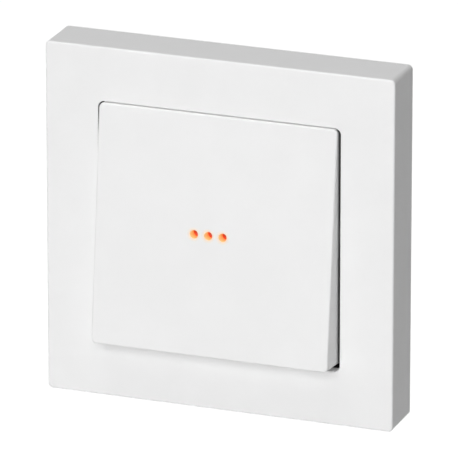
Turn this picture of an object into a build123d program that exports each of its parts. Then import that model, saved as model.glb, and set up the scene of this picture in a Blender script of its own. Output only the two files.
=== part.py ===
"""Illuminated bell push: wall frame, sprung rocker with three lit points, and a flush insert."""

import os
from math import cos, radians, sin

from build123d import *

os.makedirs("parts", exist_ok=True)

# X runs to the right, Y into the wall and Z up. The wall surface is the plane Y = 0.
# Lengths are millimetres. "Out" is a distance in front of the wall, "depth" one behind it.

# Cover frame
frame_size = 80.0
frame_depth = 11.6
frame_front_wall = 2.5
frame_side_wall = 2.0
frame_corner_radius = 1.8
frame_edge_radius = 0.45
opening_corner_radius = 1.4
opening_edge_chamfer = 0.15
frame_rib_wall = 1.0
frame_rib_spacing = 26.0
frame_rib_height = 1.6
frame_rib_end_gap = 1.5

# Rocker
rocker_width = 54.6
rocker_height = 53.7
rocker_rise = 0.15
rocker_skirt_depth = 9.2
rocker_face_wall = 1.8
rocker_skirt_wall = 1.6
rocker_corner_radius = 1.2
rocker_edge_radius = 0.4
rocker_side_gap = 0.5
rocker_end_gap = 0.85
rocker_rib_wall = 1.0
rocker_rib_height = 1.4
rocker_rib_spacing = 21.0

# Rocker movement, in degrees about the pivot axis
rest_tilt = 6.1
press_angle = 8.0
face_proud = 3.6
face_to_pivot = 7.6

# Light points
light_hole_diameter = 1.9
light_hole_pitch = 3.3
light_hole_count = 3
light_hole_depth = 2.6
light_offset = -1.1
light_rise = 0.35
lens_thickness = 1.6
lens_margin = 1.2
lens_rim_wall = 1.0
lens_clearance = 0.1

# Carrier that the rocker clips to
carrier_thickness = 2.3
carrier_behind_face = 4.4
carrier_inset = 6.75
carrier_corner_chamfer = 1.6
carrier_window_width = 24.0
carrier_window_height = 13.0
trunnion_diameter = 3.0
trunnion_end_gap = 0.5
cheek_wall = 2.0
cheek_radius = 3.0
pillar_size = 3.6
pillar_spacing = 30.0
hook_width = 6.0
hook_wall = 1.2
hook_lip = 0.7
hook_clearance = 0.15
stop_width = 3.0
stop_spacing = 14.0
stop_gap = 0.1

# Bearings in the insert cover
bearing_clearance = 0.05
bearing_radius = 4.0
bearing_wall = 3.4
bearing_side_gap = 0.4
bearing_rocker_gap = 1.6
bearing_mouth_pinch = 0.4

# Support plate
plate_thickness = 1.0
plate_edge_gap = 2.5
plate_corner_chamfer = 6.0
plate_bend_radius = 0.4
box_screw_spacing = 60.0
box_slot_length = 7.0
box_slot_width = 3.6
tab_width = 8.0
tab_height = 7.0
tab_spacing = 36.0
tab_relief = 0.8
catch_width = 4.0
catch_height = 1.6
catch_out = 4.2
catch_reach = 0.9
catch_clearance = 0.2
catch_pad_gap = 0.1

# Insert mouldings
base_width = 42.0
base_height = 42.0
base_depth = 19.5
base_wall = 1.8
base_floor = 2.0
base_edge_chamfer = 0.8
label_width = 26.0
label_height = 13.0
label_recess = 0.4
label_rise = 7.0
chamber_depth = 9.6
boss_diameter = 5.6
boss_skin = 0.4
boss_length = 7.4
cover_thickness = 2.0
cover_margin = 0.6
cover_corner_chamfer = 2.0
spigot_wall = 1.2
spigot_clearance = 0.15
window_inset = 3.4
window_corner_radius = 6.0

# Screws that hold cover, plate and base together
cover_screw_diameter = 2.5
cover_screw_head = 4.8
cover_screw_head_height = 1.5
cover_screw_length = 9.0
cover_screw_clearance = 0.05
plate_hole_clearance = 0.2
drive_slot_width = 0.8
drive_slot_depth = 0.7

# Plunger and moving contact
plunger_drop = 12.0
press_pad_reach = 1.9
press_pad_size = 5.0
plunger_tip_gap = 0.1
plunger_stem = 5.0
plunger_nose_radius = 3.2
plunger_clearance = 0.05
plunger_block_width = 7.0
plunger_block_length = 4.6
guide_wall = 1.2
guide_front = 5.0
guide_depth = 1.5
bridge_length = 20.0
bridge_width = 4.0
bridge_thickness = 0.6
bridge_clearance = 0.05
bridge_nose_chamfer = 1.0
contact_spacing = 16.0
contact_gap_left = 0.06
tip_size = 2.8
tip_height = 0.9

# Return spring
spring_wire = 0.6
spring_outer_diameter = 6.0
spring_pitch = 3.9
spring_seat_gap = 0.05
spring_pin_length = 0.5
spring_pin_gap = 0.3
well_clearance = 0.5

# Fixed contacts and terminals
blade_thickness = 0.8
blade_arm_width = 4.0
blade_arm_overlap = 2.2
tongue_lap = 0.6
tongue_end_gap = 0.2
tongue_corner_chamfer = 0.6
thread_collar_wall = 1.0
thread_collar_height = 0.8
terminal_wall = 2.8
bay_width = 8.2
bay_length = 10.4
terminal_screw_inset = 5.7
terminal_screw_diameter = 3.4
terminal_screw_clearance = 0.05
terminal_head_diameter = 6.2
terminal_head_height = 2.2
wire_space = 4.4
clamp_thickness = 1.2
clamp_side_gap = 0.4
clamp_length = 8.0

# Lamp
lamp_diameter = 4.2
lamp_tip_taper = 1.2
lamp_front = 7.6
lamp_seat_depth = 0.8
lamp_clearance = 0.1
lead_diameter = 0.6
lead_spacing = 2.6
lead_clearance = 0.05
lead_end_gap = 0.1
lamp_arm_width = 3.0
lamp_arm_overlap = 0.5
holder_wall = 1.0
holder_front = 4.6
holder_floor = 1.2
holder_flange_size = 9.0
holder_flange_height = 0.9
holder_clearance = 0.05
resistor_diameter = 2.4
resistor_length = 5.0
resistor_gap = 0.6

# Levels and places that follow from the sizes above
rest = radians(rest_tilt)
pressed = radians(rest_tilt - press_angle)
pivot_out = frame_depth + face_proud - face_to_pivot * cos(rest)
opening_width = rocker_width + 2 * rocker_side_gap
opening_height = rocker_height + 2 * rocker_end_gap
frame_inner = frame_size - 2 * frame_side_wall
frame_face_back = frame_depth - frame_front_wall
plate_size = frame_inner - 2 * plate_edge_gap
plate_half = plate_size / 2
catch_pad_face = plate_half + catch_pad_gap
cover_front = plate_thickness + cover_thickness

rocker_inner_width = rocker_width - 2 * rocker_skirt_wall
rocker_inner_height = rocker_height - 2 * rocker_skirt_wall
rocker_inner_face = face_to_pivot - rocker_face_wall
rocker_back = face_to_pivot - rocker_skirt_depth
light_centre = (light_offset, light_rise)
light_span = (light_hole_count - 1) * light_hole_pitch
lens_width = light_span + light_hole_diameter + 2 * lens_margin
lens_height = light_hole_diameter + 2 * lens_margin
lens_front = face_to_pivot - light_hole_depth
lens_back = lens_front - lens_thickness
lens_rim = 2 * (lens_clearance + lens_rim_wall)

bearing_outer = rocker_inner_width / 2 - bearing_rocker_gap
bearing_inner = bearing_outer - bearing_wall
bearing_bore_radius = trunnion_diameter / 2 + bearing_clearance
carrier_half_width = bearing_inner - bearing_side_gap
carrier_half_height = rocker_height / 2 - carrier_inset
carrier_front = face_to_pivot - carrier_behind_face
carrier_back = carrier_front - carrier_thickness
hook_inner = carrier_half_height + hook_clearance
hook_end = carrier_back - hook_clearance - hook_lip
stop_centre = carrier_half_height - stop_width / 2
press_pad_back = carrier_back - press_pad_reach

base_corner_radius = boss_diameter / 2 + boss_skin
chamber_width = base_width - 2 * base_wall
chamber_height = base_height - 2 * base_wall
cover_screw_x = base_width / 2 - base_corner_radius
cover_screw_z = base_height / 2 - base_corner_radius
cover_screw_places = [(cover_screw_x, cover_screw_z), (-cover_screw_x, -cover_screw_z)]
window_width = base_width - 2 * window_inset
window_height = base_height - 2 * window_inset
spigot_inset = 2 * spigot_clearance + spigot_wall
cover_half_width = max(bearing_outer, cover_screw_x + cover_screw_head / 2) + cover_margin
cover_half_height = max(carrier_half_height, cover_screw_z) + cover_screw_head / 2 + cover_margin

plunger_tip_out = (
    pivot_out + plunger_drop * sin(rest) + press_pad_back * cos(rest) - plunger_tip_gap
)
plunger_travel = plunger_drop * (sin(rest) - sin(pressed)) + press_pad_back * (cos(rest) - cos(pressed))
blade_front = chamber_depth - blade_thickness
fixed_tip_front = blade_front - tip_height
bridge_back = fixed_tip_front - contact_gap_left - plunger_travel - tip_height
bridge_front = bridge_back - bridge_thickness
block_front = (bridge_front + bridge_back - plunger_block_length) / 2
block_back = block_front + plunger_block_length
well_floor = base_depth - base_floor
well_radius = spring_outer_diameter / 2 + well_clearance
spring_radius = (spring_outer_diameter - spring_wire) / 2

terminal_x = base_width / 2 - terminal_wall - bay_width / 2
terminal_z = terminal_screw_inset - base_height / 2
terminal_places = [(-terminal_x, terminal_z), (terminal_x, terminal_z)]
bay_z = (bay_length - base_height) / 2
tongue_width = bay_width + 2 * tongue_lap
tongue_top = bay_length + tongue_lap - base_height / 2
tongue_bottom = base_wall + tongue_end_gap - base_height / 2
tongue_length = tongue_top - tongue_bottom
tongue_inner_x = terminal_x - tongue_width / 2
clamp_front = chamber_depth + wire_space
head_front = clamp_front + clamp_thickness
screw_end = blade_front - thread_collar_height

lamp_radius = lamp_diameter / 2
holder_bore_radius = lamp_radius + lamp_clearance
holder_size = 2 * (holder_bore_radius + holder_wall)
holder_back = lamp_seat_depth + holder_floor
resistor_front = holder_back + resistor_gap
resistor_back = resistor_front + resistor_length
lead_end = chamber_depth - lead_end_gap
lead_slot = lead_diameter + 2 * lead_clearance
lead_notch = lamp_arm_overlap + lead_diameter + lead_clearance


def wall_plane(out):
    """Plane parallel to the wall, this far in front of it, facing out."""
    return Plane.XZ.offset(out)


def rocker_level(height):
    """Plane parallel to the rocker's face at rest, this far in front of the pivot axis."""
    tilted = Plane(origin=(0, -pivot_out, 0), x_dir=(1, 0, 0), z_dir=(0, -cos(rest), sin(rest)))
    return tilted.offset(height)


def stop_reach(edge, angle):
    """Height from the pivot axis at which a stop foot with this outer edge meets the cover."""
    return (cover_front + stop_gap - pivot_out + edge * sin(angle)) / cos(angle)


def save(builder, name):
    """Label a finished piece and write it out."""
    builder.part.label = name
    export_step(builder.part, f"parts/{name}.step")


rocker_normal = Axis((0, -pivot_out, 0), (0, -cos(rest), sin(rest)))
sides = {"left": -1, "right": 1}

# Cover frame: a shell with ribs behind its face and four catches
with BuildPart() as cover_frame:
    with BuildSketch(wall_plane(0)):
        RectangleRounded(frame_size, frame_size, frame_corner_radius)
    extrude(amount=frame_depth)
    fillet(cover_frame.faces().sort_by(Axis.Y)[0].edges(), frame_edge_radius)
    with BuildSketch(wall_plane(0)):
        Rectangle(frame_inner, frame_inner)
    extrude(amount=frame_face_back, mode=Mode.SUBTRACT)
    with BuildSketch(wall_plane(frame_face_back - frame_rib_height)):
        with GridLocations(frame_rib_spacing, 1, 2, 1):
            Rectangle(frame_rib_wall, frame_inner)
        with GridLocations(1, frame_rib_spacing, 1, 2):
            Rectangle(frame_inner, frame_rib_wall)
        rib_end = 2 * frame_rib_end_gap
        Rectangle(opening_width + rib_end, opening_height + rib_end, mode=Mode.SUBTRACT)
    extrude(amount=frame_rib_height)
    with BuildSketch(wall_plane(0)):
        RectangleRounded(opening_width, opening_height, opening_corner_radius)
    extrude(amount=frame_depth, mode=Mode.SUBTRACT)
    opening_rim = cover_frame.faces().sort_by(Axis.Y)[0].inner_wires()[0]
    chamfer(opening_rim.edges(), opening_edge_chamfer)
    for side in sides.values():
        with BuildSketch(wall_plane(catch_out - catch_clearance)):
            pad_depth = frame_inner / 2 - catch_pad_face
            with Locations((side * (catch_pad_face + pad_depth / 2), 0)):
                with GridLocations(1, tab_spacing, 1, 2):
                    Rectangle(pad_depth, tab_width)
        extrude(amount=frame_face_back - catch_out + catch_clearance)
        for row in (-1, 1):
            with BuildSketch(Plane.XY.offset(row * tab_spacing / 2 - catch_width / 2)):
                with BuildLine():
                    Polyline(
                        (side * catch_pad_face, -catch_out),
                        (side * catch_pad_face, -catch_out - catch_height),
                        (side * (catch_pad_face - catch_reach), -catch_out - catch_height),
                        close=True,
                    )
                make_face()
            extrude(amount=catch_width)
save(cover_frame, "cover_frame")

# Support plate: a steel sheet with screw slots and four tabs folded forward for the frame's catches
with BuildPart() as support_plate:
    with BuildSketch(wall_plane(0)) as sheet:
        Rectangle(plate_size, plate_size)
        chamfer(sheet.vertices(), plate_corner_chamfer)
        RectangleRounded(window_width, window_height, window_corner_radius, mode=Mode.SUBTRACT)
        with Locations(*cover_screw_places):
            Circle(cover_screw_diameter / 2 + plate_hole_clearance, mode=Mode.SUBTRACT)
        with GridLocations(box_screw_spacing, 1, 2, 1):
            SlotOverall(box_slot_length, box_slot_width, mode=Mode.SUBTRACT)
        with GridLocations(1, box_screw_spacing, 1, 2):
            SlotOverall(box_slot_length, box_slot_width, rotation=90, mode=Mode.SUBTRACT)
        bend_length = plate_thickness + plate_bend_radius + tab_relief
        with GridLocations(plate_size - bend_length, tab_spacing, 2, 2):
            Rectangle(bend_length, tab_width + 2 * tab_relief, mode=Mode.SUBTRACT)
    extrude(amount=plate_thickness)
    for side in sides.values():
        for row in (-1, 1):
            with BuildSketch(Plane.XY.offset(row * tab_spacing / 2 - tab_width / 2)) as tab_profile:
                bend_start = side * (plate_half - bend_length)
                tab_inner = side * (plate_half - plate_thickness)
                with BuildLine():
                    Polyline(
                        (bend_start, 0),
                        (side * plate_half, 0),
                        (side * plate_half, -tab_height),
                        (tab_inner, -tab_height),
                        (tab_inner, -plate_thickness),
                        (bend_start, -plate_thickness),
                        close=True,
                    )
                make_face()
                corners = tab_profile.vertices()
                outer_bend = corners.sort_by_distance((side * plate_half, 0))[0]
                inner_bend = corners.sort_by_distance((tab_inner, -plate_thickness))[0]
                fillet(outer_bend, plate_bend_radius + plate_thickness)
                fillet(inner_bend, plate_bend_radius)
            extrude(amount=tab_width)
    with BuildSketch(wall_plane(catch_out - catch_clearance)):
        with GridLocations(plate_size - plate_thickness, tab_spacing, 2, 2):
            Rectangle(2 * plate_thickness, catch_width + 2 * catch_clearance)
    extrude(amount=catch_height + 2 * catch_clearance, mode=Mode.SUBTRACT)
save(support_plate, "support_plate")

# Insert base: the rear moulding with the contact chamber in front, and the wire bays and label recess behind
with BuildPart() as insert_base:
    with BuildSketch(wall_plane(-base_depth)):
        RectangleRounded(base_width, base_height, base_corner_radius)
    extrude(amount=base_depth)
    chamfer(insert_base.faces().sort_by(Axis.Y)[-1].edges(), base_edge_chamfer)
    with BuildSketch(wall_plane(-base_depth)):
        with Locations((0, label_rise)):
            Rectangle(label_width, label_height)
    extrude(amount=label_recess, mode=Mode.SUBTRACT)
    with BuildSketch(wall_plane(0)):
        Rectangle(chamber_width, chamber_height)
    extrude(amount=-chamber_depth, mode=Mode.SUBTRACT)
    with BuildSketch(wall_plane(0)):
        with Locations(*cover_screw_places):
            Circle(boss_diameter / 2)
    extrude(amount=-boss_length)
    with BuildSketch(wall_plane(0)):
        with Locations(*cover_screw_places):
            Circle(cover_screw_diameter / 2 + cover_screw_clearance)
    extrude(amount=-boss_length, mode=Mode.SUBTRACT)
    with BuildSketch(wall_plane(-base_depth)):
        with Locations((-terminal_x, bay_z), (terminal_x, bay_z)):
            Rectangle(bay_width, bay_length)
    extrude(amount=base_depth - chamber_depth, mode=Mode.SUBTRACT)
    with BuildSketch(wall_plane(-well_floor)):
        Rectangle(chamber_width, chamber_height)
        with Locations((-terminal_x, bay_z), (terminal_x, bay_z)):
            Rectangle(bay_width + 2 * base_wall, bay_length + 2 * base_wall, mode=Mode.SUBTRACT)
        with Locations((0, -plunger_drop)):
            Circle(well_radius + base_wall, mode=Mode.SUBTRACT)
            Circle(well_radius)
        Rectangle(base_width, base_wall, mode=Mode.SUBTRACT)
    extrude(amount=well_floor - chamber_depth, mode=Mode.SUBTRACT)
save(insert_base, "insert_base")

# Insert cover: the front moulding with the rocker's bearings, the plunger guide and the lamp hole
with BuildPart() as insert_cover:
    with BuildSketch(wall_plane(plate_thickness)) as cover_outline:
        Rectangle(2 * cover_half_width, 2 * cover_half_height)
        chamfer(cover_outline.vertices(), cover_corner_chamfer)
    extrude(amount=cover_thickness)
    with BuildSketch(wall_plane(0)):
        with GridLocations(window_width - spigot_inset, 1, 2, 1):
            Rectangle(spigot_wall, window_height - 2 * window_corner_radius)
        with GridLocations(1, window_height - spigot_inset, 1, 2):
            Rectangle(window_width - 2 * window_corner_radius, spigot_wall)
    extrude(amount=plate_thickness)
    for start in (-bearing_outer, bearing_inner):
        with BuildSketch(Plane.YZ.offset(start)):
            with Locations((-(pivot_out + cover_front) / 2, 0)):
                Rectangle(pivot_out - cover_front, 2 * bearing_radius)
            with Locations((-pivot_out, 0)):
                Circle(bearing_radius)
                Circle(bearing_bore_radius, mode=Mode.SUBTRACT)
            with Locations((-pivot_out - bearing_radius / 2, 0)):
                Rectangle(bearing_radius, trunnion_diameter - bearing_mouth_pinch, mode=Mode.SUBTRACT)
        extrude(amount=bearing_wall)
    guide_opening = plunger_stem + 2 * plunger_clearance
    with BuildSketch(wall_plane(-guide_depth)):
        with Locations((0, -plunger_drop)):
            Rectangle(guide_opening + 2 * guide_wall, guide_opening + 2 * guide_wall)
    extrude(amount=guide_front + guide_depth)
    with BuildSketch(wall_plane(-guide_depth)):
        with Locations((0, -plunger_drop)):
            Rectangle(guide_opening, guide_opening)
    extrude(amount=guide_front + guide_depth, mode=Mode.SUBTRACT)
    with BuildSketch(wall_plane(plate_thickness)):
        with Locations((light_offset, 0)):
            Rectangle(holder_size + 2 * holder_clearance, holder_size + 2 * holder_clearance)
    extrude(amount=cover_thickness, mode=Mode.SUBTRACT)
    with BuildSketch(wall_plane(plate_thickness)):
        with Locations(*cover_screw_places):
            Circle(cover_screw_diameter / 2 + cover_screw_clearance)
    extrude(amount=cover_thickness, mode=Mode.SUBTRACT)
save(insert_cover, "insert_cover")

# Cover screws: two slotted cheese heads on a diagonal of the cover
with BuildPart() as cover_screws:
    with BuildSketch(wall_plane(cover_front)):
        with Locations(*cover_screw_places):
            Circle(cover_screw_head / 2)
    extrude(amount=cover_screw_head_height)
    with BuildSketch(wall_plane(cover_front)):
        with Locations(*cover_screw_places):
            Circle(cover_screw_diameter / 2)
    extrude(amount=-cover_screw_length)
    with BuildSketch(wall_plane(cover_front + cover_screw_head_height)):
        with Locations(*cover_screw_places):
            Rectangle(cover_screw_head, drive_slot_width)
    extrude(amount=-drive_slot_depth, mode=Mode.SUBTRACT)
save(cover_screws, "cover_screws")

# Contact strips: a threaded tongue over the wire bay, an arm for the contact and one for the lamp's lead
for name, side in sides.items():
    with BuildPart() as contact_blade:
        contact_x = side * contact_spacing / 2
        contact_arm_end = contact_x - side * blade_arm_overlap
        lamp_arm_end = light_offset + side * (lead_spacing / 2 - lead_diameter / 2 - lamp_arm_overlap)
        lamp_arm_edge = side * (tongue_inner_x + lamp_arm_width)
        lamp_arm_top = lamp_arm_width / 2
        with BuildSketch(wall_plane(-chamber_depth)) as strip:
            with Locations((side * terminal_x, (tongue_top + tongue_bottom) / 2)):
                Rectangle(tongue_width, tongue_length)
            chamfer(strip.vertices(), tongue_corner_chamfer)
            with Locations(((contact_arm_end + side * terminal_x) / 2, -plunger_drop)):
                Rectangle(abs(contact_arm_end - side * terminal_x), blade_arm_width)
            with Locations((lamp_arm_edge - side * lamp_arm_width / 2, (terminal_z + lamp_arm_top) / 2)):
                Rectangle(lamp_arm_width, lamp_arm_top - terminal_z)
            with Locations(((lamp_arm_edge + lamp_arm_end) / 2, 0)):
                Rectangle(abs(lamp_arm_edge - lamp_arm_end), lamp_arm_width)
            with Locations((lamp_arm_end + side * lead_notch / 2, 0)):
                Rectangle(lead_notch, lead_slot, mode=Mode.SUBTRACT)
        extrude(amount=blade_thickness)
        with BuildSketch(wall_plane(-blade_front)):
            with Locations((side * terminal_x, terminal_z)):
                Circle(terminal_screw_diameter / 2 + thread_collar_wall)
        extrude(amount=thread_collar_height)
        with BuildSketch(wall_plane(-chamber_depth)):
            with Locations((side * terminal_x, terminal_z)):
                Circle(terminal_screw_diameter / 2 + terminal_screw_clearance)
        extrude(amount=blade_thickness + thread_collar_height, mode=Mode.SUBTRACT)
    save(contact_blade, f"contact_blade_{name}")

# Silver tips welded to the contact strips
with BuildPart() as contact_tips:
    with BuildSketch(wall_plane(-blade_front)):
        with Locations((0, -plunger_drop)):
            with GridLocations(contact_spacing, 1, 2, 1):
                Rectangle(tip_size, tip_size)
    extrude(amount=tip_height)
save(contact_tips, "contact_tips")

# Terminal screws: slotted cheese heads that face the back, threaded into the strips
with BuildPart() as terminal_screws:
    with BuildSketch(wall_plane(-head_front)):
        with Locations(*terminal_places):
            Circle(terminal_head_diameter / 2)
    extrude(amount=-terminal_head_height)
    with BuildSketch(wall_plane(-head_front)):
        with Locations(*terminal_places):
            Circle(terminal_screw_diameter / 2)
    extrude(amount=head_front - screw_end)
    with BuildSketch(wall_plane(-head_front - terminal_head_height)):
        with Locations(*terminal_places):
            Rectangle(terminal_head_diameter, drive_slot_width)
    extrude(amount=drive_slot_depth, mode=Mode.SUBTRACT)
save(terminal_screws, "terminal_screws")

# Clamp plates: one under each terminal screw's head
with BuildPart() as clamp_plates:
    with BuildSketch(wall_plane(-clamp_front)):
        with Locations(*terminal_places):
            Rectangle(bay_width - 2 * clamp_side_gap, clamp_length)
            Circle(terminal_screw_diameter / 2 + terminal_screw_clearance, mode=Mode.SUBTRACT)
    extrude(amount=-clamp_thickness)
save(clamp_plates, "clamp_plates")

# Plunger: a guided square stem with a rounded nose, and a block with a slot for the contact bridge
with BuildPart() as plunger:
    half_stem = plunger_stem / 2
    nose_edge = plunger_nose_radius - (plunger_nose_radius**2 - half_stem**2) ** 0.5 - plunger_tip_out
    with BuildSketch(Plane.YZ.offset(-half_stem)):
        with BuildLine():
            Polyline(
                (nose_edge, -plunger_drop - half_stem),
                (block_front, -plunger_drop - half_stem),
                (block_front, -plunger_drop + half_stem),
                (nose_edge, -plunger_drop + half_stem),
            )
            ThreePointArc(
                (nose_edge, -plunger_drop + half_stem),
                (-plunger_tip_out, -plunger_drop),
                (nose_edge, -plunger_drop - half_stem),
            )
        make_face()
    extrude(amount=plunger_stem)
    with BuildSketch(wall_plane(-block_front)):
        with Locations((0, -plunger_drop)):
            Rectangle(plunger_block_width, plunger_block_width)
    extrude(amount=-plunger_block_length)
    with BuildSketch(wall_plane(-block_back)):
        with Locations((0, -plunger_drop)):
            Circle(spring_radius - spring_wire / 2 - spring_pin_gap)
    extrude(amount=-spring_pin_length)
    with BuildSketch(wall_plane(-bridge_back - bridge_clearance)):
        with Locations((0, -plunger_drop)):
            Rectangle(plunger_block_width, bridge_width + 2 * bridge_clearance)
    extrude(amount=bridge_thickness + 2 * bridge_clearance, mode=Mode.SUBTRACT)
save(plunger, "plunger")

# Contact bridge: the moving strip that joins the two fixed contacts
with BuildPart() as contact_bridge:
    with BuildSketch(wall_plane(-bridge_back)) as bridge_outline:
        with Locations((0, -plunger_drop)):
            Rectangle(bridge_length, bridge_width)
        chamfer(bridge_outline.vertices(), bridge_nose_chamfer)
    extrude(amount=bridge_thickness)
save(contact_bridge, "contact_bridge")

# Silver tips welded to the contact bridge
with BuildPart() as bridge_tips:
    with BuildSketch(wall_plane(-bridge_back)):
        with Locations((0, -plunger_drop)):
            with GridLocations(contact_spacing, 1, 2, 1):
                Rectangle(tip_size, tip_size)
    extrude(amount=-tip_height)
save(bridge_tips, "bridge_tips")

# Return spring: square wire, between the plunger's block and the floor of its well
with BuildPart() as return_spring:
    spring_start = block_back + spring_seat_gap + spring_wire / 2
    spring_end = well_floor - spring_seat_gap - spring_wire / 2
    with BuildLine() as coil:
        Helix(
            spring_pitch,
            spring_end - spring_start,
            spring_radius,
            center=(0, spring_start, -plunger_drop),
            direction=(0, 1, 0),
        )
    with BuildSketch(Plane(origin=coil.line @ 0, z_dir=coil.line % 0)):
        Rectangle(spring_wire, spring_wire)
    sweep(path=coil.line, is_frenet=True)
save(return_spring, "return_spring")

# Lamp holder: a flanged square block in the cover, with a slot for the leads in its floor
with BuildPart() as lamp_holder:
    with BuildSketch(wall_plane(-holder_back)):
        with Locations((light_offset, 0)):
            Rectangle(holder_size, holder_size)
    extrude(amount=holder_back + holder_front)
    with BuildSketch(wall_plane(cover_front)):
        with Locations((light_offset, 0)):
            Rectangle(holder_flange_size, holder_flange_size)
    extrude(amount=holder_flange_height)
    with BuildSketch(wall_plane(-lamp_seat_depth)):
        with Locations((light_offset, 0)):
            Circle(holder_bore_radius)
    extrude(amount=lamp_seat_depth + holder_front, mode=Mode.SUBTRACT)
    with BuildSketch(wall_plane(-holder_back)):
        with Locations((light_offset, 0)):
            Rectangle(lead_spacing + lead_slot, lead_slot)
    extrude(amount=holder_floor, mode=Mode.SUBTRACT)
save(lamp_holder, "lamp_holder")

# Glow lamp: a small glass envelope with a tapered front
with BuildPart() as glow_lamp:
    with BuildSketch(wall_plane(-lamp_seat_depth)):
        with Locations((light_offset, 0)):
            Circle(lamp_radius)
    extrude(amount=lamp_seat_depth + lamp_front)
    lamp_dome = glow_lamp.faces().sort_by(Axis.Y)[0].edges()
    chamfer(lamp_dome, lamp_tip_taper)
save(glow_lamp, "glow_lamp")

# Lamp leads: one straight to its strip, the other broken by the resistor
with BuildPart() as lamp_leads:
    lead_left = light_offset - lead_spacing / 2
    lead_right = light_offset + lead_spacing / 2
    lead_runs = [
        (lead_left, lamp_seat_depth, lead_end),
        (lead_right, lamp_seat_depth, resistor_front),
        (lead_right, resistor_back, lead_end),
    ]
    for lead_x, run_start, run_end in lead_runs:
        with BuildSketch(wall_plane(-run_start)):
            with Locations((lead_x, 0)):
                Circle(lead_diameter / 2)
        extrude(amount=run_start - run_end)
save(lamp_leads, "lamp_leads")

# Series resistor: on the right lead
with BuildPart() as series_resistor:
    with BuildSketch(wall_plane(-resistor_back)):
        with Locations((light_offset + lead_spacing / 2, 0)):
            Circle(resistor_diameter / 2)
    extrude(amount=resistor_length)
save(series_resistor, "series_resistor")

# Rocker: a shell with three light holes, the lens rim, two ribs and four clip hooks
with BuildPart() as rocker:
    with BuildSketch(rocker_level(rocker_back)):
        with Locations((0, rocker_rise)):
            RectangleRounded(rocker_width, rocker_height, rocker_corner_radius)
    extrude(amount=rocker_skirt_depth)
    fillet(rocker.faces().sort_by(rocker_normal)[-1].edges(), rocker_edge_radius)
    with BuildSketch(rocker_level(rocker_back)):
        with Locations((0, rocker_rise)):
            Rectangle(rocker_inner_width, rocker_inner_height)
    extrude(amount=rocker_skirt_depth - rocker_face_wall, mode=Mode.SUBTRACT)
    with BuildSketch(rocker_level(lens_back)):
        with Locations(light_centre):
            Rectangle(lens_width + lens_rim, lens_height + lens_rim)
    extrude(amount=rocker_inner_face - lens_back)
    with BuildSketch(rocker_level(lens_back)):
        with Locations(light_centre):
            Rectangle(lens_width + 2 * lens_clearance, lens_height + 2 * lens_clearance)
    extrude(amount=lens_thickness, mode=Mode.SUBTRACT)
    with BuildSketch(rocker_level(face_to_pivot)):
        with Locations(light_centre):
            with GridLocations(light_hole_pitch, 1, light_hole_count, 1):
                Circle(light_hole_diameter / 2)
    extrude(amount=-light_hole_depth, mode=Mode.SUBTRACT)
    with BuildSketch(rocker_level(rocker_inner_face - rocker_rib_height)):
        with Locations((0, rocker_rise)):
            with GridLocations(rocker_rib_spacing, 1, 2, 1):
                Rectangle(rocker_rib_wall, rocker_inner_height)
    extrude(amount=rocker_rib_height)
    for row in (-1, 1):
        with BuildSketch(rocker_level(hook_end)):
            with Locations((0, row * (hook_inner + hook_wall / 2))):
                with GridLocations(pillar_spacing, 1, 2, 1):
                    Rectangle(hook_width, hook_wall)
        extrude(amount=rocker_inner_face - hook_end)
        with BuildSketch(rocker_level(hook_end)):
            with Locations((0, row * (hook_inner + (hook_wall - hook_lip) / 2))):
                with GridLocations(pillar_spacing, 1, 2, 1):
                    Rectangle(hook_width, hook_wall + hook_lip)
        extrude(amount=hook_lip)
save(rocker, "rocker")

# Light lens: the orange light guide in the rocker's rim, behind the three holes
with BuildPart() as light_lens:
    with BuildSketch(rocker_level(lens_back)):
        with Locations(light_centre):
            Rectangle(lens_width, lens_height)
    extrude(amount=lens_thickness)
save(light_lens, "light_lens")

# Rocker carrier: a cradle with two trunnions, pillars for the rocker, stop feet and the press pad
with BuildPart() as rocker_carrier:
    with BuildSketch(rocker_level(carrier_back)) as cradle:
        Rectangle(2 * carrier_half_width, 2 * carrier_half_height)
        chamfer(cradle.vertices(), carrier_corner_chamfer)
        Rectangle(carrier_window_width, carrier_window_height, mode=Mode.SUBTRACT)
    extrude(amount=carrier_thickness)
    for start in (-carrier_half_width, carrier_half_width - cheek_wall):
        cheek_plane = Plane(origin=(start, -pivot_out, 0), x_dir=(0, sin(rest), cos(rest)), z_dir=(1, 0, 0))
        with BuildSketch(cheek_plane):
            Circle(cheek_radius)
            with Locations((0, -carrier_front / 2)):
                Rectangle(2 * cheek_radius, carrier_front)
        extrude(amount=cheek_wall)
    trunnion_reach = bearing_outer - trunnion_end_gap
    for start in (-trunnion_reach, carrier_half_width - cheek_wall):
        with BuildSketch(Plane(origin=(start, -pivot_out, 0), x_dir=(0, 1, 0), z_dir=(1, 0, 0))):
            Circle(trunnion_diameter / 2)
        extrude(amount=trunnion_reach - carrier_half_width + cheek_wall)
    with BuildSketch(rocker_level(carrier_front)):
        with GridLocations(pillar_spacing, pillar_spacing, 2, 2):
            Rectangle(pillar_size, pillar_size)
    extrude(amount=rocker_inner_face - carrier_front)
    with BuildSketch(rocker_level(carrier_back)):
        with Locations((0, -plunger_drop)):
            Rectangle(press_pad_size, press_pad_size)
    extrude(amount=-press_pad_reach)
    for row, angle in ((1, rest), (-1, pressed)):
        with BuildSketch(rocker_level(carrier_back)):
            with Locations((0, row * stop_centre)):
                with GridLocations(stop_spacing, 1, 2, 1):
                    Rectangle(stop_width, stop_width)
        extrude(amount=stop_reach(row * carrier_half_height, angle) - carrier_back)
save(rocker_carrier, "rocker_carrier")
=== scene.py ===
"""Looks of the illuminated bell push: finishes, fine pieces, studio and camera."""
import math
from collections import namedtuple

import bpy
from mathutils import Matrix, Vector


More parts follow.
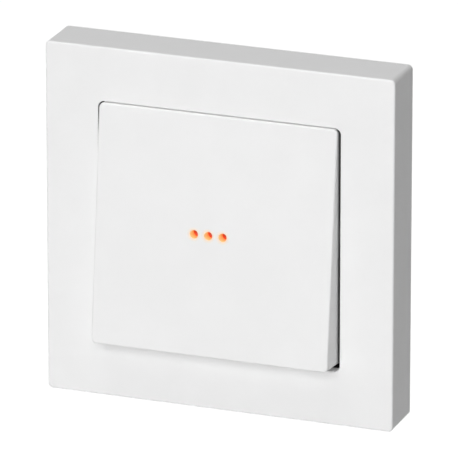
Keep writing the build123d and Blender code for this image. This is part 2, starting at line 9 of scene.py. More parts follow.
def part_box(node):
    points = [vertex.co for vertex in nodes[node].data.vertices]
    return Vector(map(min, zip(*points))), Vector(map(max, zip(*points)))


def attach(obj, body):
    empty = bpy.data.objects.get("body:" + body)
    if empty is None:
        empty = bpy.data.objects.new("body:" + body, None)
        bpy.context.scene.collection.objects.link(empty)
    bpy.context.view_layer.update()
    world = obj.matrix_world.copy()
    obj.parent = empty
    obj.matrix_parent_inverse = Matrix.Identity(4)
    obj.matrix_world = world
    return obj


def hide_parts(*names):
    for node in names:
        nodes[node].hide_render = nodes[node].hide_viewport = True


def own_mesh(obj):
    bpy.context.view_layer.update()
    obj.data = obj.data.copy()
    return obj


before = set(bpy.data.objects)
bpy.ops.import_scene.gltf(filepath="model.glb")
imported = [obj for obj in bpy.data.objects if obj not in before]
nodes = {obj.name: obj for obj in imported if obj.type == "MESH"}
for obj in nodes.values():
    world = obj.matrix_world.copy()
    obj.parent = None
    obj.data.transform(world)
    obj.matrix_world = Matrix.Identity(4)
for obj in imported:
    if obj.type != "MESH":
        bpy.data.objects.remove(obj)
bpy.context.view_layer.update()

MM = 0.001

# Camera, fitted to the edges of the frame in the photograph: angles in degrees, distance in metres
CAMERA_YAW = 20.45
CAMERA_PITCH = 19.306
CAMERA_DISTANCE = 1.6124
CAMERA_SENSOR_MM = 36.0
CAMERA_LENS_MM = 583.28
CAMERA_TARGET_RIGHT = -1.8285 * MM
CAMERA_TARGET_UP = -1.9441 * MM

# Studio: square light panels, in metres and watts, with their directions from the object, surround and floor
SoftLight = namedtuple("SoftLight", "direction distance side power")
SOFT_LIGHTS = {
    "key": SoftLight(direction=(0.1, -0.95, 0.37), distance=2.4, side=1.2, power=41.1),
    "overhead": SoftLight(direction=(-0.2, -0.2, 1.0), distance=1.5, side=1.0, power=7.6),
    "rear": SoftLight(direction=(-0.25, 1.0, -0.21), distance=1.2, side=0.4, power=5.0),
}
AMBIENT = 0.048
FLOOR_LEVEL = -0.5
FLOOR_SIZE = 12.0
FLOOR_TONE = 0.82
FLOOR_DRIFT = 0.01
FLOOR_LIFT = 0.85

# All finishes: the spans of noise that drift and grain use, and how far sharp edges are shaded as broken
RISING = (0.0, 1.0)
FALLING = (1.0, 0.0)
DRIFT_SPAN = (0.35, 0.65)
GRAIN_SPAN = (0.3, 0.7)
GRAIN_DETAIL = 2.0
EDGE_BREAK = 0.1 * MM
EDGE_SAMPLES = 4
OPENING_SAMPLES = 8

# The two white mouldings. The openness of a point says whether it lies in a narrow gap, and one part of its
# normal whether its wall stands upright or lies level
FRAME_TONE = 0.872
ROCKER_TONE = 0.856
WHITE_DRIFT = 0.007
PLASTIC_SCATTER = 0.5 * MM
# Painted shade: this tone darkens the colour of both mouldings in narrow upright gaps, where shade falls
PAINTED_GAP_SHADE = 0.08
GAP_REACH = 1.5 * MM
GAP_OPENING = (0.1, 0.45)
UPRIGHT_WALL = (0.4, 0.8)
LEVEL_WALL = (0.8, 0.95)
# Painted light: a faint emission that lifts the rocker's level top gap
TOP_GAP_PAINTED_LIGHT = 0.06

# Painted shade: the plate's colour is darkened where the frame covers it
COVER_PAINTED_SHADE = 0.02
COVER_REACH = 30.0 * MM
COVER_OPENING = (0.15, 0.45)

# Rocker face at rest, and the row of light points on it
REST_TILT = math.radians(6.1)
FACE_OUT = 15.2 * MM
FACE_TO_PIVOT = 7.6 * MM
LIGHT_ROW_RIGHT = -1.1 * MM
LIGHT_ROW_UP = 0.35 * MM
LIGHT_CENTRE = (
    LIGHT_ROW_RIGHT,
    LIGHT_ROW_UP * math.sin(REST_TILT) - FACE_OUT,
    LIGHT_ROW_UP * math.cos(REST_TILT) + FACE_TO_PIVOT * math.sin(REST_TILT),
)
LIGHT_PITCH = 3.3 * MM
LIGHTS_EACH_SIDE = 1.0
LIGHT_RADIUS = 0.95 * MM
LIGHT_DEPTH = 2.6 * MM

# Glow of a light hole: the radii and the depths over which it fades, its colours, and the halo round it
HOLE_WALL = (LIGHT_RADIUS + 0.12 * MM, LIGHT_RADIUS + 0.2 * MM)
HOLE_MOUTH = (0.02 * MM, 0.1 * MM)
HOLE_MOUTH_GLOW = (0.87, 0.75, 0.43)
HOLE_DEEP_GLOW = (0.81, 0.42, 0.11)
HOLE_STRENGTH = 0.32
HALO_COLOUR = (1.0, 0.72, 0.45)
HALO_SHARE = 0.5
HALO_WIDTH = 0.75 * MM
HALO_DEPTH = 0.6 * MM

# Glow of the lens under a light hole, from its middle to its edge
LENS_RING = (0.5 * MM, LIGHT_RADIUS)
LENS_MIDDLE_GLOW = (0.1, 0.007, 0.001)
LENS_EDGE_GLOW = (0.75, 0.055, 0.011)
LENS_STRENGTH = 0.4

# Outer corners of the frame: the radius of the solid, the tighter one of the photograph, and how far
# below the outer wall a point still belongs to it and to its rounded front edge
CORNER_IN_CAD = 1.8 * MM
CORNER_IN_PHOTO = 1.1 * MM
CORNER_SKIN = 0.6 * MM
ON_FACE = 0.001 * MM

# Turned pieces: sides of a ring, and steps of a rounded edge
TURNED_SIDES = 48
ROUNDING_STEPS = 5

# Screws: facing is the way of the head along Y, and places are corners or sides of the node's box
Screw = namedtuple("Screw", "head_radius head_height shank_radius facing places")
SCREWS = {
    "terminal_screws": Screw(head_radius=3.1 * MM, head_height=2.2 * MM, shank_radius=1.7 * MM,
                             facing=1, places=((-1, 0), (1, 0))),
    "cover_screws": Screw(head_radius=2.4 * MM, head_height=1.5 * MM, shank_radius=1.25 * MM,
                          facing=-1, places=((-1, -1), (1, 1))),
}
HEAD_CHAMFER = 0.1 * MM
HEAD_ROUNDING = 0.35 * MM
HEAD_STEPS = 4
SLOT_WIDTH = 0.8 * MM
SLOT_DEPTH = 0.7 * MM
SLOT_OVERRUN = 1.0 * MM
THREAD_PITCH = 0.6 * MM
THREAD_DEPTH = 0.3 * MM
THREAD_STEPS = 8
SCREW_SHARP_ANGLE = math.radians(38)

# Glow lamp: its rounded foot, dome and drawn tip, with arcs in degrees, and the two electrodes in it
LAMP_FOOT_ROUNDING = 0.4 * MM
LAMP_DOME = 1.9 * MM
LAMP_DOME_ARC = (0, 88)
LAMP_DOME_STEPS = 12
LAMP_TIP_RADIUS = 0.35 * MM
LAMP_TIP_LENGTH = 0.35 * MM
LAMP_TIP_ARC = (15, 80)
LAMP_TIP_STEPS = 4
ELECTRODE_RADIUS = 0.3 * MM
ELECTRODE_LENGTH = 5.0 * MM
ELECTRODE_ROUNDING = 0.2 * MM
ELECTRODE_OFFSET = 0.75 * MM
ELECTRODE_FOOT = 0.7 * MM
ELECTRODE_SIDES = 20

# Resistor: swollen ends, the narrower body between them, and colour bands at shares of its length
RESISTOR_ROUNDING = 0.5 * MM
RESISTOR_CAP = 0.95 * MM
RESISTOR_BLEND = 0.65 * MM
RESISTOR_WAIST = 0.15 * MM
RESISTOR_STEPS = 24
BAND_HALF_WIDTH = 0.035
BAND_COLOURS = {
    0.14: (0.12, 0.045, 0.02),
    0.36: (0.012, 0.012, 0.012),
    0.5: (0.75, 0.5, 0.03),
    0.86: (0.45, 0.3, 0.08),
}

# Return spring: the height of its axis, its wire and its turns
SPRING_AXIS_Z = -12.0 * MM
SPRING_WIRE = 0.6 * MM
SPRING_TURNS = 5.2
SPRING_STEPS_PER_TURN = 40
SPRING_WIRE_SIDES = 14


# A material with its node tree, its shader and its object coordinates
Finish = namedtuple("Finish", "material tree shader coordinates")


def grey(tone):
    """Neutral colour of this linear tone."""
    return (tone, tone, tone)


def opaque(colour):
    """Colour with full alpha, as a colour socket takes it."""
    return (*colour, 1.0)


def feed(tree, socket, value):
    """Link an output into this socket, or set the socket to a value."""
    if isinstance(value, bpy.types.NodeSocket):
        tree.links.new(value, socket)
    else:
        socket.default_value = value


def add_node(tree, kind, inputs=None, **settings):
    """Add a shader node, set its properties, and fill or link its inputs."""
    node = tree.nodes.new(kind)
    for key, value in settings.items():
        setattr(node, key, value)
    for key, value in (inputs or {}).items():
        feed(tree, node.inputs[key], value)
    return node


def math_node(tree, operation, *values, clamp=False):
    """Math node on one to three values or sockets; returns its output."""
    node = add_node(tree, "ShaderNodeMath", dict(enumerate(values)), operation=operation, use_clamp=clamp)
    return node.outputs[0]


def map_range(tree, value, span, onto=RISING, smooth=False):
    """Map a socket from one span onto another, clamped; returns the result."""
    kind = "SMOOTHSTEP" if smooth else "LINEAR"
    inputs = {"Value": value, "From Min": span[0], "From Max": span[1], "To Min": onto[0], "To Max": onto[1]}
    return add_node(tree, "ShaderNodeMapRange", inputs, interpolation_type=kind).outputs["Result"]


def mix_colour(tree, factor, first, second):
    """Mix two colours or colour sockets; returns the result."""
    node = add_node(tree, "ShaderNodeMix", data_type="RGBA")
    # The node also has sockets for numbers and vectors, which are not enabled when it mixes colours
    factor_socket, *colour_sockets = [s for s in node.inputs if s.enabled]
    feed(tree, factor_socket, factor)
    for socket, colour in zip(colour_sockets, (first, second)):
        feed(tree, socket, opaque(colour) if isinstance(colour, tuple) else colour)
    return [s for s in node.outputs if s.enabled][0]


def noise(tree, coordinates, scale, detail=3.0):
    """Noise in object space; returns its value."""
    inputs = {"Vector": coordinates, "Scale": scale, "Detail": detail}
    return add_node(tree, "ShaderNodeTexNoise", inputs).outputs["Fac"]


def stretched(tree, coordinates, scale):
    """Object coordinates scaled apart along X, Y and Z, for drawn or brushed marks."""
    inputs = {"Vector": coordinates, "Scale": scale}
    return add_node(tree, "ShaderNodeMapping", inputs).outputs["Vector"]


def enclosed(tree, reach, opening):
    """How closed in a point is, from the share of its surroundings within reach that is open.

    It is 1 up to the first share in opening, and 0 from the second one on.
    """
    inputs = {"Distance": reach}
    share = add_node(tree, "ShaderNodeAmbientOcclusion", inputs, samples=OPENING_SAMPLES).outputs["AO"]
    return map_range(tree, share, opening, FALLING, smooth=True)


def seen_directly(tree):
    """1 for the rays that show the background: from the camera, off gloss and through glass."""
    path = add_node(tree, "ShaderNodeLightPath").outputs
    seen = math_node(tree, "ADD", path["Is Camera Ray"], path["Is Glossy Ray"])
    return math_node(tree, "ADD", seen, path["Is Transmission Ray"], clamp=True)


def surface(name, dark, pale, mottle, rough, grain, bump, stretch=(1, 1, 1), edge=EDGE_BREAK, **sockets):
    """Principled finish: its tone drifts with a soft noise, and a fine grain gives roughness and relief.

    mottle and grain are noise scales per metre, rough is the range of roughness, bump the height
    of the grain in metres, and edge the radius that sharp edges are shaded with.
    """
    material = bpy.data.materials.new(name)
    material.use_nodes = True
    tree = material.node_tree
    shader = tree.nodes["Principled BSDF"]
    coordinates = add_node(tree, "ShaderNodeTexCoord").outputs["Object"]
    drift = map_range(tree, noise(tree, coordinates, mottle), DRIFT_SPAN)
    tree.links.new(mix_colour(tree, drift, dark, pale), shader.inputs["Base Color"])
    fine = noise(tree, stretched(tree, coordinates, stretch), grain, GRAIN_DETAIL)
    tree.links.new(map_range(tree, fine, GRAIN_SPAN, rough), shader.inputs["Roughness"])
    relief = add_node(tree, "ShaderNodeBump", {"Height": fine, "Distance": bump, "Strength": 1.0})
    if edge:
        rounded = add_node(tree, "ShaderNodeBevel", {"Radius": edge}, samples=EDGE_SAMPLES)
        tree.links.new(rounded.outputs["Normal"], relief.inputs["Normal"])
    tree.links.new(relief.outputs["Normal"], shader.inputs["Normal"])
    for key, value in sockets.items():
        shader.inputs[key.replace("_", " ")].default_value = value
    return Finish(material, tree, shader, coordinates)


def paint_over(finish, factor, colour):
    """Lay a colour over the base colour of a finish, as far as the factor says."""
    base = finish.shader.inputs["Base Color"]
    under = base.links[0].from_socket
    finish.tree.links.new(mix_colour(finish.tree, factor, under, colour), base)


# The finishes that the photograph shows

def narrow_gaps(tree):
    """How far a point lies in a narrow gap: on a wall that stands upright, and on one that lies level."""
    narrow = enclosed(tree, GAP_REACH, GAP_OPENING)
    normal = add_node(tree, "ShaderNodeNewGeometry").outputs["True Normal"]
    across, _, upward = add_node(tree, "ShaderNodeSeparateXYZ", {"Vector": normal}).outputs
    upright = map_range(tree, math_node(tree, "ABSOLUTE", across), UPRIGHT_WALL)
    level = map_range(tree, upward, LEVEL_WALL)
    return math_node(tree, "MULTIPLY", narrow, upright), math_node(tree, "MULTIPLY", narrow, level)


def white_plastic(name, tone):
    """Satin white thermoplastic with a very fine moulded grain, with painted shade that darkens its colour in
    narrow upright gaps.

    Returns the finish, and how far a point lies in a level gap.
    """
    finish = surface(name, dark=grey(tone - WHITE_DRIFT), pale=grey(tone + WHITE_DRIFT), mottle=90,
                     rough=(0.38, 0.46), grain=5200, bump=1.2e-6, edge=0.0, Specular_IOR_Level=0.5,
                     Subsurface_Weight=0.25, Subsurface_Radius=(1.0, 1.0, 1.0),
                     Subsurface_Scale=PLASTIC_SCATTER)
    upright_gap_shade, level_gap = narrow_gaps(finish.tree)
    # Painted shade: the base colour is darkened in narrow upright gaps
    paint_over(finish, upright_gap_shade, grey(PAINTED_GAP_SHADE))
    return finish, level_gap


def frame_white():
    """White plastic of the wall frame."""
    finish, _ = white_plastic("frame_white", FRAME_TONE)
    return finish.material


def light_point_space(finish):
    """Distance from the nearest light hole's axis, and depth below the rocker's face."""
    tree = finish.tree
    turn = (math.pi / 2 - REST_TILT, 0, 0)
    inputs = {"Vector": finish.coordinates, "Location": LIGHT_CENTRE, "Rotation": turn}
    local = add_node(tree, "ShaderNodeMapping", inputs, vector_type="TEXTURE").outputs["Vector"]
    along, across, height = add_node(tree, "ShaderNodeSeparateXYZ", {"Vector": local}).outputs
    place = math_node(tree, "ROUND", math_node(tree, "DIVIDE", along, LIGHT_PITCH))
    place = math_node(tree, "MINIMUM", place, LIGHTS_EACH_SIDE)
    place = math_node(tree, "MAXIMUM", place, -LIGHTS_EACH_SIDE)
    offset = math_node(tree, "SUBTRACT", along, math_node(tree, "MULTIPLY", place, LIGHT_PITCH))
    squares = [math_node(tree, "POWER", side, 2.0) for side in (offset, across)]
    radius = math_node(tree, "SQRT", math_node(tree, "ADD", *squares))
    return radius, math_node(tree, "MULTIPLY", height, -1.0)


def lit_rocker():
    """White plastic with painted light: it glows in the light holes, with a faint halo painted into its
    colour, and a faint emission lifts its top gap.
    """
    finish, level_gap = white_plastic("rocker_white", ROCKER_TONE)
    tree, shader = finish.tree, finish.shader
    radius, depth = light_point_space(finish)
    near_hole = map_range(tree, radius, HOLE_WALL, FALLING)
    in_hole = math_node(tree, "MULTIPLY", near_hole, map_range(tree, depth, HOLE_MOUTH))
    halo_span = (LIGHT_RADIUS, LIGHT_RADIUS + HALO_WIDTH)
    halo = map_range(tree, radius, halo_span, (HALO_SHARE, 0.0), smooth=True)
    halo = math_node(tree, "MULTIPLY", halo, math_node(tree, "LESS_THAN", depth, HALO_DEPTH))
    deep = map_range(tree, depth, (HOLE_MOUTH[1], LIGHT_DEPTH))
    glow = mix_colour(tree, deep, HOLE_MOUTH_GLOW, HOLE_DEEP_GLOW)
    # Painted light: the halo and the holes' glow are laid into the base colour, and the hole walls glow by
    # emission
    paint_over(finish, halo, HALO_COLOUR)
    paint_over(finish, in_hole, glow)
    tree.links.new(mix_colour(tree, in_hole, grey(1.0), glow), shader.inputs["Emission Color"])
    # Painted light: a faint emission in the level top gap
    painted_gap_light = math_node(tree, "MULTIPLY", level_gap, TOP_GAP_PAINTED_LIGHT)
    strength = add_node(tree, "ShaderNodeMix", {"Factor": in_hole, "A": painted_gap_light, "B": HOLE_STRENGTH})
    tree.links.new(strength.outputs["Result"], shader.inputs["Emission Strength"])
    return finish.material


def lit_lens():
    """Orange light guide with painted light: its emission is brightest round the edge of each point, where
    the hole's wall lights it too.
    """
    finish = surface("lens_orange", dark=(0.42, 0.03, 0.006), pale=(0.52, 0.04, 0.008), mottle=700,
                     rough=(0.16, 0.24), grain=3000, bump=4e-7, edge=0.0, Emission_Strength=LENS_STRENGTH)
    tree = finish.tree
    radius, _ = light_point_space(finish)
    # Painted light: emission stands in for the lamp's light through the guide, brighter towards the edge
    shine = map_range(tree, radius, LENS_RING, smooth=True)
    glow = mix_colour(tree, shine, LENS_MIDDLE_GLOW, LENS_EDGE_GLOW)
    tree.links.new(glow, finish.shader.inputs["Emission Color"])
    return finish.material


# The finishes behind the frame and the rocker

def zinc_with_painted_shade():
    """Bright zinc plated sheet, with painted shade that darkens its colour where the frame covers it and no
    light gets in.
    """
    finish = surface("zinc_sheet", dark=(0.6, 0.61, 0.625), pale=(0.69, 0.695, 0.7), mottle=420,
                     rough=(0.26, 0.44), grain=900, bump=1.5e-6, stretch=(1, 1, 9), Metallic=1.0)
    # Painted shade: the base colour is darkened where the frame covers the plate
    paint_over(finish, enclosed(finish.tree, COVER_REACH, COVER_OPENING), grey(COVER_PAINTED_SHADE))
    return finish.material


def insert_black():
    """Black moulded thermoplastic of the insert."""
    return surface("insert_black", dark=(0.016, 0.016, 0.018), pale=(0.024, 0.024, 0.026), mottle=110,
                   rough=(0.4, 0.52), grain=3600, bump=3e-6).material


def base_grey():
    """Mid grey moulded thermoset of the base."""
    return surface("base_grey", dark=(0.182, 0.187, 0.197), pale=(0.198, 0.203, 0.213), mottle=260,
                   rough=(0.4, 0.55), grain=3000, bump=5e-6).material


def acetal_natural():
    """Natural acetal, a little yellow."""
    return surface("acetal_natural", dark=(0.8, 0.77, 0.7), pale=(0.86, 0.84, 0.78), mottle=200,
                   rough=(0.3, 0.4), grain=4000, bump=2e-6).material


def screw_steel():
    """Zinc plated and passivated steel, a little yellow."""
    return surface("screw_steel", dark=(0.5, 0.475, 0.41), pale=(0.66, 0.64, 0.57), mottle=520,
                   rough=(0.24, 0.4), grain=2600, bump=1.5e-6, Metallic=1.0).material


def strip_brass():
    """Rolled brass strip."""
    return surface("strip_brass", dark=(0.72, 0.5, 0.2), pale=(0.83, 0.63, 0.31), mottle=320,
                   rough=(0.2, 0.36), grain=1500, bump=1.5e-6, stretch=(7, 1, 1), Metallic=1.0).material


def tip_silver():
    """Silver alloy of the contact tips."""
    return surface("tip_silver", dark=(0.8, 0.79, 0.76), pale=(0.9, 0.89, 0.87), mottle=900,
                   rough=(0.28, 0.42), grain=4200, bump=2e-6, Metallic=1.0).material


def wire_tinned():
    """Tinned copper wire."""
    return surface("wire_tinned", dark=(0.6, 0.59, 0.56), pale=(0.74, 0.73, 0.7), mottle=900,
                   rough=(0.25, 0.4), grain=3000, bump=1e-6, stretch=(3, 1, 3), Metallic=1.0).material


def lamp_glass():
    """Clear glass, tinted by the glow in it."""
    return surface("lamp_glass", dark=(0.95, 0.62, 0.42), pale=(1.0, 0.72, 0.52), mottle=400,
                   rough=(0.02, 0.05), grain=1200, bump=5e-7, edge=0.0, Transmission_Weight=0.9, IOR=1.48,
                   Emission_Color=opaque((1.0, 0.3, 0.06)), Emission_Strength=0.18).material


def electrode_nickel():
    """Nickel rod with the glow that covers it."""
    return surface("electrode_nickel", dark=(0.5, 0.47, 0.42), pale=(0.62, 0.58, 0.52), mottle=900,
                   rough=(0.3, 0.45), grain=2600, bump=1e-6, Metallic=1.0,
                   Emission_Color=opaque((1.0, 0.22, 0.03)), Emission_Strength=1.2).material


def resistor_lacquer(start, length):
    """Lacquer with colour bands, on a body of this length along Y."""
    finish = surface("resistor_lacquer", dark=(0.56, 0.42, 0.25), pale=(0.66, 0.52, 0.33), mottle=700,
                     rough=(0.25, 0.36), grain=2600, bump=3e-6, edge=0.0)
    tree = finish.tree
    along = add_node(tree, "ShaderNodeSeparateXYZ", {"Vector": finish.coordinates}).outputs["Y"]
    for place, colour in BAND_COLOURS.items():
        offset = math_node(tree, "ABSOLUTE", math_node(tree, "SUBTRACT", along, start + place * length))
        paint_over(finish, math_node(tree, "LESS_THAN", offset, BAND_HALF_WIDTH * length), colour)
    return finish.material


def spring_wire():
    """Drawn spring steel."""
    return surface("spring_wire", dark=(0.4, 0.4, 0.415), pale=(0.55, 0.55, 0.56), mottle=900,
                   rough=(0.22, 0.36), grain=2600, bump=1e-6, Metallic=1.0).material


def dress(material, *node_names):
    """Give CAD nodes this material."""
    for node_name in node_names:
        slots = nodes[node_name].data.materials
        slots.clear()
        slots.append(material)


def dress_frame(steel):
    """Finish of every CAD node that keeps its shape, and of the frame; steel is for the clamps."""
    dress(frame_white(), "cover_frame")
    dress(lit_rocker(), "rocker")
    dress(lit_lens(), "light_lens")
    dress(zinc_with_painted_shade(), "support_plate")
    dress(insert_black(), "insert_cover", "rocker_carrier")
    dress(base_grey(), "insert_base")
    dress(acetal_natural(), "plunger", "lamp_holder")
    dress(steel, "clamp_plates")
    dress(strip_brass(), "contact_blade_left", "contact_blade_right", "contact_bridge")
    dress(tip_silver(), "contact_tips", "bridge_tips")
    dress(wire_tinned(), "lamp_leads")


# A ring of a turned piece; a threaded one gets a helical groove
Ring = namedtuple("Ring", "radius height threaded", defaults=(False,))


def add_object(name, data):
    """New object in the scene with this mesh, light or camera."""
    item = bpy.data.objects.new(name, data)
    bpy.context.scene.collection.objects.link(item)
    return item


def add_mesh(name, vertices, faces, material, smooth=True):
    """New mesh object in the scene, shaded smooth or flat."""
    mesh = bpy.data.meshes.new(name)
    mesh.from_pydata(vertices, [], faces)
    mesh.update()
    if smooth:
        mesh.polygons.foreach_set("use_smooth", [True] * len(mesh.polygons))
    mesh.materials.append(material)
    return add_object(name, mesh)


def wave(turns):
    """Smooth wave that goes from 0 to 1 in half a turn, and back in the other half."""
    return 0.5 - 0.5 * math.cos(2 * math.pi * turns)


def tube_faces(rings, sides):
    """Faces of a closed tube whose vertices are this many rings in a row, with a cap at each end."""
    faces = []
    for k in range(rings - 1):
        for s in range(sides):
            a, b = k * sides + s, k * sides + (s + 1) % sides
            faces.append((a, a + sides, b + sides, b))
    first = range(sides)
    last = range((rings - 1) * sides, rings * sides)
    return [*faces, tuple(first), tuple(reversed(last))]


def flipped(faces):
    """The same faces, turned to face the other way."""
    return [(face[0], *reversed(face[1:])) for face in faces]


def turned(profile, centre, facing, sides=TURNED_SIDES):
    """Closed turned piece along Y, from the rings of its profile; returns vertices and faces.

    Heights count from centre, along +Y for facing 1 and along -Y for facing -1.
    """
    vertices = []
    for ring in profile:
        for s in range(sides):
            groove = THREAD_DEPTH * wave(ring.height / THREAD_PITCH - s / sides) if ring.threaded else 0.0
            reach = ring.radius - groove
            angle = 2 * math.pi * s / sides
            vertices.append((centre[0] + reach * math.cos(angle), centre[1] + facing * ring.height,
                             centre[2] + facing * reach * math.sin(angle)))
    return vertices, tube_faces(len(profile), sides)


def arc(middle, reach, start, end, steps):
    """Rings on an elliptical arc; its angles, in degrees, turn from outwards to upwards."""
    rings = []
    for k in range(steps + 1):
        angle = math.radians(start + (end - start) * k / steps)
        rings.append(Ring(middle[0] + reach[0] * math.cos(angle), middle[1] + reach[1] * math.sin(angle)))
    return rings


def rounded_foot(radius, rounding):
    """Rings of the rounded edge that a turned piece begins with."""
    return arc((radius - rounding, rounding), (rounding, rounding), -90, 0, ROUNDING_STEPS)


def rounded_top(radius, top, rounding, steps=ROUNDING_STEPS):
    """Rings of the rounded edge that a turned piece ends with."""
    return arc((radius - rounding, top - rounding), (rounding, rounding), 0, 90, steps)


def joined(parts):
    """Several lists of vertices and faces as one."""
    vertices, faces = [], []
    for more, more_faces in parts:
        faces += [tuple(v + len(vertices) for v in face) for face in more_faces]
        vertices += more
    return vertices, faces


def block(low, high):
    """Vertices and faces of a box between two corners."""
    corners = [(x, y, z) for x in (low[0], high[0]) for y in (low[1], high[1]) for z in (low[2], high[2])]
    return corners, [(0, 1, 3, 2), (4, 6, 7, 5), (0, 4, 5, 1), (2, 3, 7, 6), (0, 2, 6, 4), (1, 5, 7, 3)]


def cut(piece, vertices, faces):
    """Take a closed shape out of a piece's mesh."""
    cutter = add_mesh("cutter", vertices, faces, piece.data.materials[0], smooth=False)
    modifier = piece.modifiers.new("cut", "BOOLEAN")
    modifier.operation = "DIFFERENCE"
    modifier.solver = "EXACT"
    modifier.object = cutter
    depsgraph = bpy.context.evaluated_depsgraph_get()
    mesh = bpy.data.meshes.new_from_object(piece.evaluated_get(depsgraph))
    piece.modifiers.clear()
    piece.data = mesh
    bpy.data.objects.remove(cutter)


# Pieces in place of CAD nodes

def moulded_frame():
    """The frame with tighter outer corners: each corner's wall slides outwards along the diagonal.

    A point keeps its angle round the corner and its distance below the outer wall, so the sides and
    the front stay flat and every normal stays as it was.
    """
    mesh = nodes["cover_frame"].data.copy()
    normals = [corner.vector.copy() for corner in mesh.corner_normals]
    _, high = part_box("cover_frame")
    slide = CORNER_IN_CAD - CORNER_IN_PHOTO
    centre = high.x - CORNER_IN_CAD
    new_centre = centre + slide
    for vertex in mesh.vertices:
        x, _, z = vertex.co
        across, upward = abs(x) - centre, abs(z) - centre
        reach = math.hypot(across, upward)
        if min(across, upward) > -ON_FACE and CORNER_IN_CAD - reach < CORNER_SKIN:
            shrink = (reach - slide) / reach
            vertex.co.x = math.copysign(new_centre + shrink * across, x)
            vertex.co.z = math.copysign(new_centre + shrink * upward, z)
    mesh.normals_split_custom_set(normals)
    piece = add_object("moulded_frame", mesh)
    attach(piece, "base")
    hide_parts("cover_frame")


def screw_profile(screw, shank_length):
    """Rings of a cheese-head screw from its point to the top of its head; height 0 is under the head."""
    thread_start = THREAD_PITCH / 2 - shank_length
    thread_length = -THREAD_PITCH - thread_start
    steps = int(shank_length / THREAD_PITCH * THREAD_STEPS)
    rings = [Ring(screw.shank_radius - THREAD_DEPTH, -shank_length)]
    for k in range(steps + 1):
        rings.append(Ring(screw.shank_radius, thread_start + thread_length * k / steps, threaded=True))
    rings += [Ring(screw.shank_radius, -THREAD_PITCH / 2), Ring(screw.shank_radius, 0.0)]
    rings += [Ring(screw.head_radius - HEAD_CHAMFER, 0.0), Ring(screw.head_radius, HEAD_CHAMFER)]
    return rings + rounded_top(screw.head_radius, screw.head_height, HEAD_ROUNDING, HEAD_STEPS)


def drive_slot(screw, x, top, z):
    """Block that cuts the drive slot across a screw's head."""
    reach = screw.head_radius + SLOT_OVERRUN
    near, far = top - SLOT_DEPTH, top + SLOT_DEPTH
    return block((x - reach, near, z - SLOT_WIDTH / 2), (x + reach, far, z + SLOT_WIDTH / 2))


def threaded_screws(steel):
    """Threaded screws with rounded, slotted heads in place of the plain ones."""
    for node, screw in SCREWS.items():
        low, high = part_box(node)
        middle, half = (low + high) / 2, (high - low) / 2
        wide, tall = half.x - screw.head_radius, half.z - screw.head_radius
        places = [(middle.x + x * wide, middle.z + z * tall) for x, z in screw.places]
        top = high.y if screw.facing > 0 else low.y
        seat = top - screw.facing * screw.head_height
        profile = screw_profile(screw, high.y - low.y - screw.head_height)
        shapes = [turned(profile, (x, seat, z), screw.facing) for x, z in places]
        piece = add_mesh(f"threaded_{node}", *joined(shapes), steel)
        cut(piece, *joined([drive_slot(screw, x, top, z) for x, z in places]))
        piece.data.set_sharp_from_angle(angle=SCREW_SHARP_ANGLE)
        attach(piece, "base")
        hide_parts(node)


def lamp_outline(radius, length):
    """Rings of the lamp's envelope: rounded foot, straight wall, dome and drawn tip."""
    neck = length - LAMP_TIP_LENGTH
    dome = (radius - LAMP_TIP_RADIUS, LAMP_DOME)
    tip = (LAMP_TIP_RADIUS, LAMP_TIP_LENGTH)
    rings = rounded_foot(radius, LAMP_FOOT_ROUNDING)
    rings += arc((LAMP_TIP_RADIUS, neck - LAMP_DOME), dome, *LAMP_DOME_ARC, LAMP_DOME_STEPS)
    return rings + arc((0.0, neck), tip, *LAMP_TIP_ARC, LAMP_TIP_STEPS)


def glow_tube():
    """Glass lamp with a drawn tip and two electrodes, in place of the plain envelope."""
    low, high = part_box("glow_lamp")
    middle = (low + high) / 2
    outline = lamp_outline((high.x - low.x) / 2, high.y - low.y)
    shapes = [turned(outline, (middle.x, high.y, middle.z), -1)]
    glass_faces = len(shapes[0][1])
    rod = rounded_foot(ELECTRODE_RADIUS, ELECTRODE_ROUNDING)
    rod += rounded_top(ELECTRODE_RADIUS, ELECTRODE_LENGTH, ELECTRODE_ROUNDING)
    for side in (-1, 1):
        foot = (middle.x + side * ELECTRODE_OFFSET, high.y - ELECTRODE_FOOT, middle.z)
        shapes.append(turned(rod, foot, -1, ELECTRODE_SIDES))
    lamp = add_mesh("glow_tube", *joined(shapes), lamp_glass())
    lamp.data.materials.append(electrode_nickel())
    for polygon in lamp.data.polygons:
        polygon.material_index = 0 if polygon.index < glass_faces else 1
    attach(lamp, "base")
    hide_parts("glow_lamp")


def resistor_outline(radius, length):
    """Rings of a resistor with swollen ends and a narrower body between them."""
    rings = rounded_foot(radius, RESISTOR_ROUNDING)
    for k in range(RESISTOR_STEPS + 1):
        height = RESISTOR_CAP + (length - 2 * RESISTOR_CAP) * k / RESISTOR_STEPS
        fall = min((min(height, length - height) - RESISTOR_CAP) / RESISTOR_BLEND, 1.0)
        rings.append(Ring(radius - RESISTOR_WAIST * wave(fall / 2), height))
    return rings + rounded_top(radius, length, RESISTOR_ROUNDING)


def resistor():
    """Lacquered resistor with swollen ends and colour bands, in place of the plain cylinder."""
    low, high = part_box("series_resistor")
    middle = (low + high) / 2
    length = high.y - low.y
    outline = resistor_outline((high.x - low.x) / 2, length)
    shape = turned(outline, (middle.x, low.y, middle.z), 1)
    body = add_mesh("banded_resistor", *shape, resistor_lacquer(low.y, length))
    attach(body, "base")
    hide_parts("series_resistor")


def coil_height(turn, length):
    """Height along the spring after this many turns: a closed turn at each end, open ones between."""
    open_turns = SPRING_TURNS - 2
    open_pitch = (length - 2 * SPRING_WIRE) / open_turns
    first = min(turn, 1.0)
    between = min(max(turn - 1.0, 0.0), open_turns)
    last = max(turn - 1.0 - open_turns, 0.0)
    return (first + last) * SPRING_WIRE + between * open_pitch


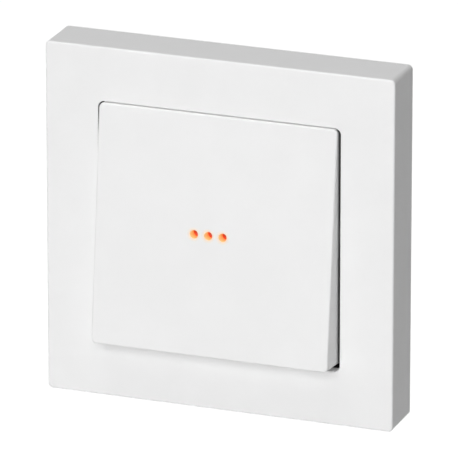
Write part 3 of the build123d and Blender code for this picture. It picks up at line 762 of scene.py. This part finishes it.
def coil_path(low, high):
    """Centre line of the spring's wire in its box."""
    radius = (high.x - low.x - SPRING_WIRE) / 2
    length = high.y - low.y - SPRING_WIRE
    steps = int(SPRING_TURNS * SPRING_STEPS_PER_TURN)
    path = []
    for k in range(steps + 1):
        turn = SPRING_TURNS * k / steps
        angle = 2 * math.pi * turn
        height = low.y + SPRING_WIRE / 2 + coil_height(turn, length)
        path.append(Vector((radius * math.cos(angle), height, SPRING_AXIS_Z + radius * math.sin(angle))))
    return path


def round_wire(path):
    """Vertices and faces of the spring's wire along a path that winds round the spring's axis."""
    vertices = []
    last = len(path) - 1
    for k, point in enumerate(path):
        tangent = (path[min(k + 1, last)] - path[max(k - 1, 0)]).normalized()
        outward = Vector((point.x, 0, point.z - SPRING_AXIS_Z)).normalized()
        third = tangent.cross(outward).normalized()
        for s in range(SPRING_WIRE_SIDES):
            angle = 2 * math.pi * s / SPRING_WIRE_SIDES
            vertices.append(point + SPRING_WIRE / 2 * (math.cos(angle) * outward + math.sin(angle) * third))
    return vertices, flipped(tube_faces(len(path), SPRING_WIRE_SIDES))


def return_spring():
    """Round-wire coil with closed ends, in place of the plain spring."""
    low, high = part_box("return_spring")
    spring = add_mesh("return_coil", *round_wire(coil_path(low, high)), spring_wire())
    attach(spring, "base")
    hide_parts("return_spring")
    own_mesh(spring)


# Studio and camera

def surround():
    """Dim grey surround that shows white to the camera, in gloss and through glass."""
    world = bpy.data.worlds.new("studio")
    bpy.context.scene.world = world
    world.use_nodes = True
    tree = world.node_tree
    shown = mix_colour(tree, seen_directly(tree), grey(AMBIENT), grey(1.0))
    tree.links.new(shown, tree.nodes["Background"].inputs["Color"])


def floor_pale():
    """Pale matt floor, lifted towards white where it is seen directly."""
    finish = surface("floor_pale", dark=grey(FLOOR_TONE - FLOOR_DRIFT), pale=grey(FLOOR_TONE + FLOOR_DRIFT),
                     mottle=2, rough=(0.85, 0.95), grain=60, bump=1e-5, edge=0.0,
                     Emission_Color=opaque(grey(1.0)))
    lift = math_node(finish.tree, "MULTIPLY", seen_directly(finish.tree), FLOOR_LIFT)
    finish.tree.links.new(lift, finish.shader.inputs["Emission Strength"])
    return finish.material


def floor():
    """Level floor under the object."""
    half = FLOOR_SIZE / 2
    corners = [(x, y, FLOOR_LEVEL) for x, y in ((-half, -half), (half, -half), (half, half), (-half, half))]
    add_mesh("floor", corners, [(0, 1, 2, 3)], floor_pale(), smooth=False)


def soft_lights():
    """Square light panels that face the object and stay out of the picture."""
    for name, light in SOFT_LIGHTS.items():
        lamp = bpy.data.lights.new(name, "AREA")
        lamp.shape = "SQUARE"
        lamp.size = light.side
        lamp.energy = light.power
        panel = add_object(name, lamp)
        towards = Vector(light.direction).normalized()
        panel.location = towards * light.distance
        panel.rotation_euler = towards.to_track_quat("Z", "Y").to_euler()
        panel.visible_camera = False


def aim_camera():
    """Camera at the photograph's viewing angle."""
    yaw, pitch = math.radians(CAMERA_YAW), math.radians(CAMERA_PITCH)
    forward = Vector((-math.sin(yaw) * math.cos(pitch), math.cos(yaw) * math.cos(pitch), -math.sin(pitch)))
    right = Vector((math.cos(yaw), math.sin(yaw), 0.0))
    up = right.cross(forward)
    target = right * CAMERA_TARGET_RIGHT + up * CAMERA_TARGET_UP
    lens = bpy.data.cameras.new("camera")
    lens.sensor_width = CAMERA_SENSOR_MM
    lens.lens = CAMERA_LENS_MM
    camera = add_object("camera", lens)
    turn = Matrix((right, up, -forward)).transposed().to_4x4()
    camera.matrix_world = Matrix.Translation(target - forward * CAMERA_DISTANCE) @ turn
    bpy.context.scene.camera = camera


bpy.context.scene.view_settings.view_transform = "Standard"
steel = screw_steel()
dress_frame(steel)
threaded_screws(steel)
moulded_frame()
glow_tube()
resistor()
return_spring()
surround()
floor()
soft_lights()
aim_camera()
